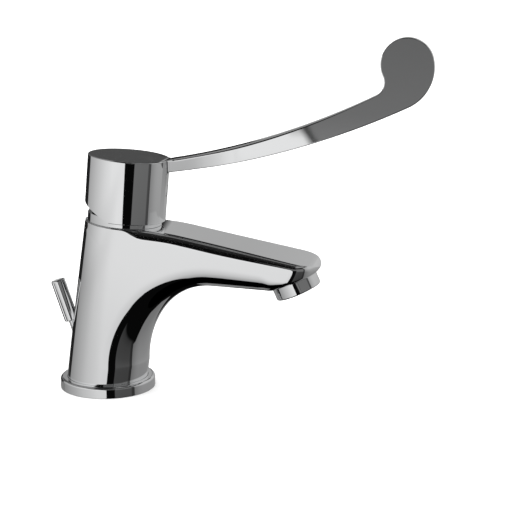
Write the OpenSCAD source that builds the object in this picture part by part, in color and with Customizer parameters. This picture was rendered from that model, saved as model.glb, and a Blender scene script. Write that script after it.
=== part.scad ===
// Elbow lever tap: single-lever basin mixer with a long hooked lever and a lift rod.
// Millimetres, +Z up, +X along the spout, origin at the middle of the foot on the deck.

/* [Body] */
// Diameter of the round column
column_d = 46; // [43:0.5:50]
// Height of the rim's middle above the deck
rim_height = 96.3; // [92:0.5:112]
// How far the rim's middle lies ahead of the foot
rim_forward = 11.7; // [8:0.5:14]
// Forward lean of the cartridge and hub axis, in degrees
axis_lean = 5; // [3:0.5:7]
// Height of the upright foot inside the base ring
foot_height = 7.5; // [7.25:0.25:10]
// Rounding of the rim's edge
rim_round = 0.8; // [0.6:0.1:2.5]

/* [Spout] */
// Reach of the nose from the foot's middle
spout_reach = 122.5; // [114:0.5:140]
// Full width of the spout
spout_width = 43.4; // [40:0.2:46]
// Downward slope of the flat top, in degrees
spout_slope = 11.6; // [10:0.2:12.5]
// Height of the underside above the deck
underside_height = 62.6; // [58:0.2:64]
// Rounding of the top edges beside the hub
top_round = 6; // [2:0.2:7]
// Height of the rounded belly at each side
belly_round = 14; // [9:0.5:16]
// Length over which the nose is rounded in plan
nose_length = 18.5; // [14:0.5:24]
// Height where the arch leaves the column
arch_start = 16; // [12:1:24]
// Distance from the nose back to where the arch ends
arch_end_back = 60.5; // [54:0.5:66]
// Diameter of the water channel
channel_d = 9; // [6:0.5:9.5]

/* [Base] */
// Outside diameter of the base ring
ring_d = 54; // [49:0.5:60]
// Wall of the base ring
ring_wall = 3.88; // [3.7:0.02:4.3]
// Height of the base ring
ring_height = 7; // [5:0.1:7.1]
// Rounding of the ring's upper edge
ring_round = 2.6; // [0.6:0.1:2.8]
// Thickness of the gasket in the ring's groove
gasket_t = 1.6; // [1:0.1:2]
// Width of the gasket
gasket_width = 1.5; // [1:0.1:1.8]
// Core diameter of the two threaded inlets
inlet_d = 9; // [8:0.25:10]
// Depth of the threaded inlets
inlet_depth = 14; // [10:1:20]
// Spacing of the two inlets
inlet_spacing = 14; // [13:0.5:16]
// Core diameter of the threaded stud hole
stud_d = 6.8; // [5:0.2:8.5]
// Depth of the stud hole
stud_depth = 16; // [10:1:22]
// Distance of the stud hole ahead of the foot's middle
stud_forward = 13; // [11:0.5:15]

/* [Cartridge] */
// Diameter of the cartridge
cartridge_d = 35; // [33:0.5:36]
// Depth of the cartridge seat below the rim
seat_depth = 25; // [24:0.5:27]
// Depth of the nut's thread below the rim
nut_depth = 9; // [7:0.5:10]
// Diameter of the nut's thread
nut_d = 38.4; // [37.6:0.2:39.4]
// Height of the nut's hexagon above the rim
nut_hex_height = 3.2; // [2:0.2:3.6]
// Diameter of the cartridge neck
neck_d = 30; // [28:0.5:31]
// Height of the cartridge neck above the rim
neck_height = 4; // [3:0.25:4.5]
// Thickness of the cartridge base
cartridge_base_t = 5; // [4:0.25:5.5]
// Thickness of the fixed ceramic disc
fixed_disc_t = 4; // [3:0.25:4.25]
// Thickness of the moving ceramic disc
moving_disc_t = 3.5; // [2.5:0.25:3.75]
// Thickness of the disc carrier
carrier_t = 3.8; // [3.2:0.2:4]
// Diameter of the turret
turret_d = 26.3; // [24:0.1:26.8]
// Width of the shoulder round the turret's neck
shoulder_width = 1.7; // [1.4:0.05:2]
// Width across the square stem
stem_width = 8; // [6:0.25:8.5]
// Diameter of the pivot pin
pin_d = 3; // [2:0.25:3.5]
// Diameter of the inlet ports in the cartridge
port_d = 5.2; // [4:0.2:5.6]
// Diameter of the outlet port in the cartridge
outlet_port_d = 7.2; // [5:0.2:7.6]

/* [Handle] */
// Outside diameter of the hub
hub_d = 45.6; // [44:0.2:48]
// Height of the hub
hub_height = 34.9; // [33:0.5:42]
// Gap between the rim and the hub
hub_gap = 2.4; // [2.2:0.1:3.4]
// Wall of the hub
hub_wall = 1.6; // [1.2:0.1:1.8]
// Thickness of the hub's roof
hub_roof = 6.3; // [5:0.25:8]
// Lift of the lever from closed to fully open, in degrees
lift_angle = 18; // [12:1:19]
// Distance of the paddle's middle from the hub's axis
lever_reach = 147.7; // [125:0.1:190]
// Rise of the paddle's middle above the hub's top
lever_rise = 65.7; // [58:0.5:72]
// Height of the lever where it leaves the hub
lever_root = 7.4; // [5:0.1:8]
// Thickness of the lever at the hub
lever_thick = 13; // [8:0.5:16]
// Thickness of the lever at the paddle
paddle_thick = 5.5; // [4:0.25:8]
// Diameter of the round paddle
paddle_d = 28.4; // [24:0.2:32]
// Radius inside the hook
hook_radius = 8; // [5:0.25:10]
// Radius at the paddle's heel
heel_radius = 23; // [21:0.5:30]
// Diameter of the grub screw
grub_d = 5; // [4:0.5:6]

/* [Outlet] */
// Height of the outlet's seat above the deck
outlet_height = 66; // [65:0.25:67]
// Tilt of the outlet, in degrees
outlet_tilt = 24; // [21:0.5:26]
// Distance from the nose back to the outlet's axis
outlet_back = 14.5; // [14:0.25:17]
// Diameter of the outlet's thread
outlet_thread_d = 24; // [21:0.25:24.5]
// Diameter of the visible outlet housing
outlet_d = 26.2; // [25:0.2:27]
// Height of the visible outlet housing
outlet_drop = 6.5; // [5:0.25:9]

/* [Lift rod] */
// Diameter of the lift rod
rod_d = 4; // [3:0.25:5]
// Backward lean of the lift rod, in degrees
rod_lean = 18.5; // [16:0.25:20]
// Distance of the rod from the column's rear, at the deck
rod_inset = 14.9; // [14:0.1:16]
// Distance from the deck to the knob's lower end along the rod
knob_start = 39.8; // [36:0.2:46]
// Diameter of the knob
knob_d = 8.1; // [7:0.1:9.6]
// Length of the knob
knob_length = 24.6; // [18:0.2:32]
// Outside diameter of the rod's guide bush
bush_d = 6.4; // [6:0.2:7]
// Length of the guide bush
bush_length = 12; // [8:0.5:13]

/* [Hidden] */
// Room between fixed pieces that fit together
fit = 0.03;
// Room in a running fit
run = 0.05;
// Room between pieces that move past each other
free = 0.3;
// Room between the column and the base ring
ring_room = 0.12;
column_r = column_d / 2;
base_r = ring_d / 2 - ring_wall - ring_room;
hub_r = hub_d / 2;
spout_half = spout_width / 2;
hub_top = hub_gap + hub_height;
hub_inner = hub_r - hub_wall;
collar_r = hub_inner - 0.4;
points_half = 20;
fan_steps = 18;
fan_corner = 50;
spout_steps = 20;
arch_end = spout_reach - arch_end_back;
break_x = rim_forward + column_r + 6.3;
corner_z = rim_height + column_r * tan(axis_lean);
outlet_x = spout_reach - outlet_back;
nose_tip = 5;
base_top = cartridge_base_t - seat_depth;
disc_seat = base_top + 1.5;
fixed_top = disc_seat + fixed_disc_t;
moving_bottom = fixed_top + run;
moving_top = moving_bottom + moving_disc_t;
carrier_top = moving_top + carrier_t;
foot_w = (moving_top + carrier_top) / 2;
turret_r = turret_d / 2;
turret_neck_r = turret_r - shoulder_width;
turret_bottom = carrier_top + free;
turret_shoulder = turret_bottom + 3.5;
thrust_bottom = turret_shoulder + free;
thrust_top = thrust_bottom + 0.8;
cavity_r = turret_r + run;
foot_r = stem_width * 0.206;
disc_r = cavity_r * 0.742;
carrier_half = disc_r * 0.745;
port_x = -3;
port_y = 6.5;
outlet_port_x = cavity_r - outlet_port_d / 2 - 1.6;
passage_low = (inlet_depth - 4 - rim_height) / cos(axis_lean);
stem_top = hub_top - hub_roof - 1;
grub_w = mix(hub_gap, hub_top, 0.504);
grub_end = 12;
plug_d = grub_d + 1.4;
rod_x = rod_inset - column_r;
rod_bottom = 1;
rod_top = knob_start + knob_length * 0.366;
bush_start = 8;
seat_in = 1.9;
thread_top = 6;
spigot_top = thread_top - 1;
insert_r = outlet_thread_d / 2 - 2.4;
relief_x = (hub_gap * cos(lift_angle) - free - 0.03) / sin(lift_angle);

// Small helpers
function ease(t) = t <= 0 ? 0 : t >= 1 ? 1 : t * t * (3 - 2 * t);
function mix(a, b, t) = a + (b - a) * t;
function lower_of(a, b, k) = (a + b - sqrt((a - b) * (a - b) + k * k)) / 2;
function upper_of(a, b, k) = (a + b + sqrt((a - b) * (a - b) + k * k)) / 2;
function fillet(d, r) = d >= r ? 0 : r - sqrt(max(0, r * r - (r - max(d, 0)) * (r - max(d, 0))));
function dome(d, r, n) = d >= r ? 1 : pow(max(0, 1 - pow(1 - d / r, n)), 1 / n);
function unit(v) = v / norm(v);
function bearing(v) = atan2(v[1], v[0]);

// Places a child on the leaning axis of cartridge and hub, with zero at the rim
module on_axis() {
    translate([rim_forward, 0, rim_height])
        rotate([0, axis_lean, 0])
            children();
}

// Places a child on the outlet's axis, pointing up into the spout
module on_outlet() {
    translate([outlet_x, 0, outlet_height])
        rotate([0, -outlet_tilt, 0])
            children();
}

// Places a child on the lift rod's axis, with zero on the deck
module on_rod() {
    translate([rod_x, 0, 0])
        rotate([0, -rod_lean, 0])
            children();
}

// A round bar from point a to point b
module bar(a, b, r) {
    v = b - a;
    translate(a)
        rotate([0, acos(v[2] / norm(v)), atan2(v[1], v[0])])
            cylinder(h = norm(v), r = r, $fn = 32);
}

module tube(r_out, r_in, bottom, top) {
    translate([0, 0, bottom])
        difference() {
            cylinder(h = top - bottom, r = r_out, $fn = 64);
            translate([0, 0, -1])
                cylinder(h = top - bottom + 2, r = r_in, $fn = 64);
        }
}

module disc(r, bottom, top) {
    translate([0, 0, bottom])
        cylinder(h = top - bottom, r = r, $fn = 64);
}

// Side view of the casting: middle line, top line and underside
function middle_x(z) = z < foot_height ? 0
    : rim_forward * (z - foot_height) / (rim_height - foot_height);
function rim_line(x) = rim_height + 0.05 - tan(axis_lean) * (x - rim_forward);
function slope_line(x) = rim_line(break_x) - tan(spout_slope) * (x - break_x);
function seat_line(x) = outlet_height + tan(outlet_tilt) * (x - outlet_x);
function belly_line(x) = underside_height - 0.04 * (x - arch_end);
function tip_share(x) = max(0, (x - spout_reach + nose_tip) / nose_tip);
function tip_drop(x) = 0.49 * (slope_line(spout_reach) - seat_line(spout_reach))
    * (1 - sqrt(max(0, 1 - tip_share(x) * tip_share(x))));
function top_line(x) = lower_of(rim_line(x), slope_line(x), 0.6) - tip_drop(x);
function under_line(x) = upper_of(belly_line(x), seat_line(x), 0.8) + tip_drop(x);

// Where each section of the casting starts at the back or top, and ends in front or below
function arch_point(u) = [arch_end - (arch_end - middle_x(arch_start) - column_r) * cos(u),
    mix(arch_start, under_line(arch_end), sin(u))];
function rear_point(z) = [middle_x(z) - column_r + fillet(corner_z - z, rim_round), z];
function outer_point(u) = u <= fan_corner
    ? rear_point(mix(arch_start, corner_z, u / fan_corner))
    : let (x = mix(rear_point(corner_z)[0], arch_end, (u - fan_corner) / (90 - fan_corner)))
        [x, top_line(x)];
function nose_share(x) = max(0, (x - spout_reach + nose_length) / nose_length);
function nose_width(x) = pow(max(0, 1 - pow(nose_share(x), 2.5)), 0.4);
function top_edge(x) = mix(rim_round, top_round, ease((x - rim_forward - 4.5) / 10.5))
    * mix(1, 0.5, ease((x - arch_end) / arch_end_back));

// Half width of the casting at a point of a section, d above its lower end
function half_width(p, d, long, turn) =
    let (side = mix(column_r, spout_half, ease(turn / 90)))
    let (belly = min(mix(column_r, belly_round, ease(turn / 90)), max(0.55 * long, 0.01)))
    let (edge = min(top_edge(p[0]), 0.45 * long))
    let (wide = side - fillet(top_line(p[0]) - p[1], edge))
    let (back = p[0] - middle_x(p[1]))
    let (flank = back < 0 ? sqrt(max(0, wide * wide - back * back)) : wide)
    let (fullness = mix(2, 2.5, ease(turn / 90)))
    max(0.2, min(flank, wide * dome(d, belly, fullness)) * nose_width(p[0]));

function ring_points(outer, inner, turn) =
    let (long = norm(inner - outer))
    let (rows = [for (k = [0 : points_half - 1])
        let (v = (1 - cos(180 * (k + 0.5) / points_half)) / 2)
        let (p = outer + (inner - outer) * v)
        [p[0], half_width(p, long * (1 - v), long, turn), p[1]]])
    concat(rows, [for (k = [points_half - 1 : -1 : 0]) [rows[k][0], -rows[k][1], rows[k][2]]]);

function foot_ring(z) =
    let (rows = [for (k = [0 : points_half - 1])
        let (a = 180 * (k + 0.5) / points_half)
        [-base_r * cos(a), base_r * sin(a), z]])
    concat(rows, [for (k = [points_half - 1 : -1 : 0]) [rows[k][0], -rows[k][1], z]]);

function spout_x(i) = mix(arch_end, spout_reach - 0.1, sin(90 * i / spout_steps));

casting_rings = concat(
    [foot_ring(0), foot_ring(foot_height),
        ring_points(rear_point(arch_start), [middle_x(arch_start) + column_r, arch_start], 0)],
    [for (i = [1 : fan_steps - 1])
        ring_points(outer_point(90 * i / fan_steps), arch_point(90 * i / fan_steps),
            90 * i / fan_steps)],
    [for (i = [0 : spout_steps])
        ring_points([spout_x(i), top_line(spout_x(i))], [spout_x(i), under_line(spout_x(i))], 90)]);

// Skins a row of closed rings with triangles
module skin(rings) {
    n = len(rings[0]);
    last = len(rings) - 1;
    polyhedron(
        points = [for (ring = rings) each ring],
        faces = concat(
            [[for (k = [0 : n - 1]) k]],
            [[for (k = [n - 1 : -1 : 0]) last * n + k]],
            [for (i = [0 : last - 1]) for (k = [0 : n - 1]) each [
                [i * n + k, (i + 1) * n + k, (i + 1) * n + (k + 1) % n],
                [i * n + k, (i + 1) * n + (k + 1) % n, i * n + (k + 1) % n]]]),
        convexity = 10);
}

function axis_point(x, y, w) = [
    rim_forward + x * cos(axis_lean) + w * sin(axis_lean),
    y,
    rim_height - x * sin(axis_lean) + w * cos(axis_lean)];

module body_casting() {
    channel_start = axis_point(4, 0, -seat_depth - channel_d / 2 - 4.5);
    channel_end = [outlet_x - sin(outlet_tilt) * 9.5, 0, outlet_height + cos(outlet_tilt) * 9.5];
    color("silver")
        difference() {
            skin(casting_rings);
            on_axis() {
                disc(column_r + 1, 0, 12);
                disc(cartridge_d / 2 + fit, -seat_depth, 1);
                disc(nut_d / 2 + fit, -nut_depth, 1);
                translate([outlet_port_x, 0, 0])
                    disc(outlet_port_d / 2, -seat_depth - channel_d / 2 - 4, -seat_depth + 1);
            }
            bar(channel_start, channel_end, channel_d / 2);
            for (side = [-1, 1]) {
                translate([2, side * inlet_spacing / 2, 0])
                    disc(inlet_d / 2, -1, inlet_depth);
                on_axis()
                    translate([port_x, side * port_y, 0])
                        disc(port_d / 2, passage_low, -seat_depth + 1);
            }
            translate([stud_forward, 0, 0])
                disc(stud_d / 2, -1, stud_depth);
            on_rod() {
                disc(rod_d / 2 + free, -6, knob_start + 12);
                disc(bush_d / 2 + fit, bush_start, bush_start + bush_length);
                disc(bush_d / 2 + fit, -6, bush_start + 1);
                disc(knob_d / 2 + free + run, knob_start - free, knob_start + knob_length);
            }
            on_outlet() {
                disc(outlet_d / 2 + 0.5, -outlet_drop - 4, seat_in);
                disc(outlet_thread_d / 2 + fit, 0, thread_top);
                disc(channel_d / 2 + 2, thread_top - 1, 10);
            }
        }
}

module base_ring() {
    out_r = ring_d / 2;
    in_r = out_r - ring_wall;
    groove = (in_r + out_r - gasket_width) / 2;
    color("gainsboro")
        rotate_extrude($fn = 96)
            difference() {
                translate([in_r, 0])
                    square([out_r - in_r, ring_height]);
                translate([out_r - ring_round, ring_height - ring_round])
                    difference() {
                        square(ring_round + 1);
                        circle(r = ring_round, $fn = 48);
                    }
                translate([groove - fit, -1])
                    square([gasket_width + 2 * fit, gasket_t + 1]);
            }
}

module base_gasket() {
    groove = (ring_d - ring_wall - gasket_width) / 2;
    color("dimgray")
        tube(groove + gasket_width, groove, 0, gasket_t);
}

module port_places() {
    for (side = [-1, 1])
        translate([port_x, side * port_y, 0])
            children(0);
    translate([outlet_port_x, 0, 0])
        children(1);
}

module ports(bottom, top) {
    port_places() {
        disc(port_d / 2, bottom, top);
        disc(outlet_port_d / 2, bottom, top);
    }
}

module cartridge_base() {
    color("white")
        on_axis()
            difference() {
                union() {
                    disc(cartridge_d / 2, -seat_depth, base_top);
                    disc(cavity_r - fit, base_top - 1, disc_seat);
                }
                ports(-seat_depth - 1, disc_seat + 1);
                port_places() {
                    disc(port_d / 2 + 2, -seat_depth - 1, -seat_depth + 1.6);
                    disc(outlet_port_d / 2 + 2, -seat_depth - 1, -seat_depth + 1.6);
                }
            }
}

module port_seal(d) {
    translate([0, 0, 0.8 - seat_depth])
        rotate_extrude($fn = 48)
            translate([d / 2 + 1.1, 0])
                circle(r = 0.8, $fn = 24);
}

module port_seals() {
    color("black")
        on_axis()
            port_places() {
                port_seal(port_d);
                port_seal(outlet_port_d);
            }
}

module fixed_disc() {
    color("ivory")
        on_axis()
            difference() {
                disc(cavity_r - fit, disc_seat, fixed_top);
                ports(disc_seat - 1, fixed_top + 1);
            }
}

module moving_disc() {
    color("linen")
        on_axis()
            difference() {
                disc(disc_r, moving_bottom, moving_top);
                translate([disc_r * 0.255, 0, 0])
                    disc(disc_r * 0.51, moving_bottom - 1, moving_bottom + moving_disc_t / 2);
            }
}

module disc_carrier() {
    color("lightyellow")
        on_axis()
            difference() {
                intersection() {
                    disc(disc_r, moving_top, carrier_top);
                    translate([-disc_r, -carrier_half, moving_top])
                        cube([2 * disc_r, 2 * carrier_half, carrier_t]);
                }
                disc(foot_r + free, moving_top - 1, carrier_top + 1);
            }
}

module cartridge_housing() {
    color("whitesmoke")
        on_axis()
            difference() {
                union() {
                    disc(cartridge_d / 2, base_top, -nut_depth);
                    disc(neck_d / 2, base_top + 1, neck_height);
                }
                disc(cavity_r, base_top - 1, thrust_top);
                disc(turret_neck_r + run, thrust_top - 1, neck_height + 1);
            }
}

module thrust_ring() {
    color("khaki")
        on_axis()
            tube(cavity_r - fit, turret_neck_r + run, thrust_bottom, thrust_top);
}

module turret() {
    slot_x = stem_width / 2 * cos(lift_angle) - turret_bottom * sin(lift_angle) + free + 0.2;
    color("lightsteelblue")
        on_axis()
            difference() {
                union() {
                    disc(turret_r, turret_bottom, turret_shoulder);
                    disc(turret_neck_r, turret_bottom, neck_height + 0.5);
                    difference() {
                        disc(turret_r - 0.15, moving_top + free, turret_bottom + 1);
                        translate([-turret_r, -carrier_half - free, moving_top])
                            cube([2 * turret_r, 2 * carrier_half + 2 * free, turret_bottom - moving_top]);
                    }
                }
                translate([-slot_x, -stem_width / 2 - free, turret_bottom - 1])
                    cube([2 * slot_x, stem_width + 2 * free, neck_height - turret_bottom + 3]);
                rotate([90, 0, 0])
                    disc(pin_d / 2 + 0.01, -turret_r, turret_r);
            }
}

module pivot_pin() {
    color("gray")
        on_axis()
            rotate([90, 0, 0])
                disc(pin_d / 2, 0.4 - turret_neck_r, turret_neck_r - 0.4);
}

module spindle() {
    half = stem_width / 2;
    color("goldenrod")
        on_axis()
            difference() {
                union() {
                    translate([-half, -half, -2.6])
                        cube([stem_width, stem_width, stem_top + 2.6]);
                    disc(2.2, turret_bottom + 0.6, 0);
                    disc(foot_r - 0.45, foot_w, 0);
                    translate([0, 0, foot_w])
                        sphere(r = foot_r, $fn = 32);
                }
                rotate([90, 0, 0])
                    disc(pin_d / 2 + run, -stem_width, stem_width);
                translate([half - 0.6, 0, grub_w])
                    rotate([0, 90, 0])
                        disc(grub_d / 2, 0, 4);
            }
}

module retaining_nut() {
    color("darkgoldenrod")
        on_axis()
            difference() {
                union() {
                    disc(nut_d / 2, -nut_depth, 0);
                    cylinder(h = nut_hex_height, r = nut_d / 2 - 0.6, $fn = 6);
                }
                disc(neck_d / 2 + fit, -nut_depth - 1, nut_hex_height + 1);
            }
}

module dome_collar() {
    lip = nut_hex_height;
    top = neck_height + 4;
    hole = turret_neck_r + 1.4;
    color("lightgray")
        on_axis()
            rotate_extrude($fn = 96)
                polygon([[nut_d / 2 + 0.3, 0], [collar_r, 0], [collar_r, lip],
                    [hole + 0.8, top], [hole, top], [hole, top - 1], [neck_d / 2 + 0.4, lip + 2],
                    [nut_d / 2 - 0.6 + fit, lip + 0.3], [nut_d / 2 - 0.6 + fit, 1], [nut_d / 2 + 0.3, 1]]);
}

// Meeting point of two circles, on the chosen side of the line between their middles
function meet(p, rp, q, rq, side) =
    let (d = norm(q - p))
    let (a = (rp * rp - rq * rq + d * d) / (2 * d))
    let (h = sqrt(max(0, rp * rp - a * a)))
    let (u = (q - p) / d)
    p + a * u + side * h * [-u[1], u[0]];
function sweep(c, r, a, b, n) =
    [for (i = [0 : n]) c + r * [cos(mix(a, b, i / n)), sin(mix(a, b, i / n))]];

// Outline of the lever in its own upright plane: two long arcs, hook, paddle and heel
paddle_r = paddle_d / 2;
paddle = [lever_reach, hub_top + lever_rise];
root_top = [hub_r + 1.8, hub_top + 1.2];
root_low = [hub_r + 1.8, hub_top + 1.2 - lever_root];
hook_foot = paddle + [-paddle_r + 1, -paddle_r - 2.9];
heel_foot = paddle + [-7.4, -paddle_r - 14.4];
bend = 8.4;
top_run = hook_foot - root_top;
low_run = heel_foot - root_low;
top_radius = norm(top_run) / (2 * sin(bend));
low_radius = norm(low_run) / (2 * sin(bend - 0.2));
top_middle = root_top + top_radius * [-sin(bearing(top_run) - bend), cos(bearing(top_run) - bend)];
low_middle = root_low
    + low_radius * [-sin(bearing(low_run) - bend + 0.2), cos(bearing(low_run) - bend + 0.2)];
hook = meet(top_middle, top_radius - hook_radius, paddle, paddle_r + hook_radius, -1);
heel = meet(low_middle, low_radius - heel_radius, paddle, heel_radius - paddle_r, -1);

module lever_outline() {
    inner_x = hub_r * 0.45;
    polygon(concat(
        [[inner_x, hub_top - hub_roof + 1], [inner_x, hub_top - 0.6]],
        sweep(top_middle, top_radius, bearing(root_top - top_middle), bearing(hook - top_middle), 24),
        sweep(hook, hook_radius, bearing(hook - top_middle), bearing(paddle - hook), 14),
        sweep(paddle, paddle_r, bearing(hook - paddle) + 360, bearing(paddle - heel), 40),
        sweep(heel, heel_radius, bearing(paddle - heel), bearing(heel - low_middle), 18),
        sweep(low_middle, low_radius, bearing(heel - low_middle), bearing(root_low - low_middle), 24)));
}

module lever() {
    intersection() {
        rotate([90, 0, 0])
            linear_extrude(height = 2 * lever_thick, center = true)
                lever_outline();
        linear_extrude(height = hub_top + lever_rise + paddle_d)
            polygon([[0, -lever_thick / 2], [lever_reach + paddle_d, -paddle_thick / 2],
                [lever_reach + paddle_d, paddle_thick / 2], [0, lever_thick / 2]]);
    }
}

module handle() {
    socket = stem_width / 2 + fit;
    roof = hub_top - hub_roof;
    boss_low = neck_height + 8;
    color("silver")
        on_axis()
            difference() {
                union() {
                    difference() {
                        disc(hub_r, hub_gap, hub_top);
                        disc(hub_inner, hub_gap - 1, roof);
                        translate([-relief_x, 0, hub_gap])
                            rotate([0, lift_angle + 2.5, 0])
                                translate([-2 * hub_d, -hub_d, -hub_d])
                                    cube([2 * hub_d, 2 * hub_d, hub_d]);
                    }
                    disc(stem_width, boss_low, roof + 1);
                    translate([0, -plug_d / 2 - 1.4, grub_w - plug_d / 2 - 1.4])
                        cube([hub_inner + 0.5, plug_d + 2.8, roof + 1 - grub_w + plug_d / 2 + 1.4]);
                    lever();
                }
                translate([-socket, -socket, boss_low - 1])
                    cube([2 * socket, 2 * socket, stem_top + fit - boss_low + 1]);
                translate([0, 0, grub_w])
                    rotate([0, 90, 0]) {
                        disc(grub_d / 2 + fit, 0, grub_end + 1);
                        disc(plug_d / 2 + fit, grub_end, hub_d);
                    }
            }
}

module grub_screw() {
    color("slategray")
        on_axis()
            translate([0, 0, grub_w])
                rotate([0, 90, 0])
                    difference() {
                        disc(grub_d / 2, stem_width / 2 - 0.6, grub_end);
                        translate([0, 0, grub_end - 3])
                            cylinder(h = 4, r = grub_d / 4 + 0.2, $fn = 6);
                    }
}

module screw_plug() {
    color("silver")
        on_axis()
            translate([0, 0, grub_w])
                rotate([0, 90, 0])
                    disc(plug_d / 2, hub_inner - 2, hub_r - 0.7);
}

module aerator_housing() {
    r = outlet_d / 2;
    color("silver")
        on_outlet()
            rotate_extrude($fn = 96)
                polygon(concat(
                    [[insert_r + fit, 1.2 - outlet_drop], [insert_r - 1, 1.2 - outlet_drop],
                        [insert_r - 1, -outlet_drop]],
                    sweep([r - 0.8, 0.8 - outlet_drop], 0.8, -90, 0, 6),
                    [[r, seat_in], [outlet_thread_d / 2, seat_in],
                        [outlet_thread_d / 2, spigot_top], [insert_r + fit, spigot_top]]));
}

module aerator_insert() {
    top = spigot_top;
    color("white")
        on_outlet()
            difference() {
                union() {
                    disc(insert_r, 3 - outlet_drop, top - 2);
                    disc(insert_r - 0.6, top - 2, top - 0.6);
                }
                disc(insert_r - 1.4, -outlet_drop, 0.5 - outlet_drop / 2);
                for (i = [0 : 9])
                    rotate([0, 0, 36 * i])
                        translate([insert_r * 0.62, 0, 0])
                            disc(0.9, -outlet_drop, top + 1);
            }
}

module aerator_grille() {
    pitch = 2.6;
    reach = insert_r - 2.2;
    color("gray")
        on_outlet()
            difference() {
                disc(insert_r, 1.2 - outlet_drop, 3 - outlet_drop);
                for (i = [-4 : 4]) for (j = [-4 : 4])
                    if (norm([(i + j / 2) * pitch, j * pitch * 0.866]) < reach)
                        translate([(i + j / 2) * pitch, j * pitch * 0.866, -outlet_drop])
                            cylinder(h = 4, r = 1.15, $fn = 6);
            }
}

module aerator_seal() {
    color("black")
        on_outlet()
            tube(outlet_thread_d / 2 - 0.4, insert_r - 1, spigot_top, thread_top);
}

module lift_rod() {
    color("silver")
        on_rod()
            disc(rod_d / 2, rod_bottom, rod_top);
}

module lift_knob() {
    r = knob_d / 2;
    top = knob_start + knob_length;
    color("silver")
        on_rod()
            difference() {
                rotate_extrude($fn = 64)
                    polygon(concat(
                        [[0, knob_start]],
                        sweep([r - 0.6, knob_start + 0.6], 0.6, -90, 0, 5),
                        sweep([r - 1, top - 1], 1, 0, 90, 6),
                        [[0, top]]));
                disc(rod_d / 2 + fit, knob_start - 1, rod_top);
            }
}

module rod_bush() {
    color("ivory")
        on_rod()
            tube(bush_d / 2, rod_d / 2 + run, bush_start, bush_start + bush_length);
}

body_casting();
base_ring();
base_gasket();
cartridge_base();
port_seals();
fixed_disc();
moving_disc();
disc_carrier();
cartridge_housing();
thrust_ring();
turret();
pivot_pin();
spindle();
retaining_nut();
dome_collar();
handle();
grub_screw();
screw_plug();
aerator_housing();
aerator_insert();
aerator_grille();
aerator_seal();
lift_rod();
lift_knob();
rod_bush();
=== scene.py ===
"""Elbow lever tap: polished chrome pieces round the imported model, with its studio and camera."""

import math

import bmesh
import bpy
from mathutils import Matrix, Vector


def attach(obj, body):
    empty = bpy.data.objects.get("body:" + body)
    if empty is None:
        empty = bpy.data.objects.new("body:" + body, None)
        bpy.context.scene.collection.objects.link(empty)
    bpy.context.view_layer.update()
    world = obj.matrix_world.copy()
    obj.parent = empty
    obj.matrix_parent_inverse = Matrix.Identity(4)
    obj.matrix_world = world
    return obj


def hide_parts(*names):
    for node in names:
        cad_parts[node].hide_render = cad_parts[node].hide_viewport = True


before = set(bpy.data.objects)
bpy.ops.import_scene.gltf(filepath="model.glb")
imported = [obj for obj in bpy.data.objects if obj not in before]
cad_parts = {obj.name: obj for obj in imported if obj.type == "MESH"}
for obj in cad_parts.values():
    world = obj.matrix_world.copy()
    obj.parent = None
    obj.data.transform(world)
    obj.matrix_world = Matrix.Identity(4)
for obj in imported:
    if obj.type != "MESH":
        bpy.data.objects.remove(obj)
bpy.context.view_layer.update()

bl_info = {
    "name": "Elbow Lever Tap",
    "version": (1, 0, 0),
    "blender": (4, 5, 0),
    "location": "View3D > Sidebar > Tap",
    "description": "Dresses the packed tap in polished chrome and sets it in a studio",
    "category": "Object",
}

MM = 0.001
# Clearances in millimetres, of pieces that seat on each other and of pieces that slide
FIT = 0.03
FREE = 0.3
# Radius of the plug over the handle's screw, and the screw's height as a share of the hub's
PLUG_R = 3.2
SCREW_SHARE = 0.504
# How far the outlet's housing reaches up into the spout at its full width
OUTLET_SEAT = 1.9
# Edges that turn by less than this are shaded smooth
SMOOTH_ANGLE = math.radians(28)


def length(name, description, size):
    """A length property, given in millimetres."""
    return bpy.props.FloatProperty(
        name=name, description=description, default=size * MM, unit="LENGTH", precision=5, min=0.0
    )


def turn(name, description, degrees):
    """An angle property, given in degrees."""
    return bpy.props.FloatProperty(
        name=name, description=description, default=math.radians(degrees), subtype="ANGLE"
    )


def tint(name, description, colour):
    """A colour property."""
    return bpy.props.FloatVectorProperty(
        name=name, description=description, default=colour,
        subtype="COLOR", size=3, min=0.0, max=1.0,
    )


def share(name, description, value):
    """A share between nothing and all."""
    return bpy.props.FloatProperty(
        name=name, description=description, default=value, subtype="FACTOR", min=0.0, max=1.0
    )


def point(name, description, place):
    """A place, given in metres."""
    return bpy.props.FloatVectorProperty(
        name=name, description=description, default=place, subtype="TRANSLATION", size=3
    )


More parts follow.
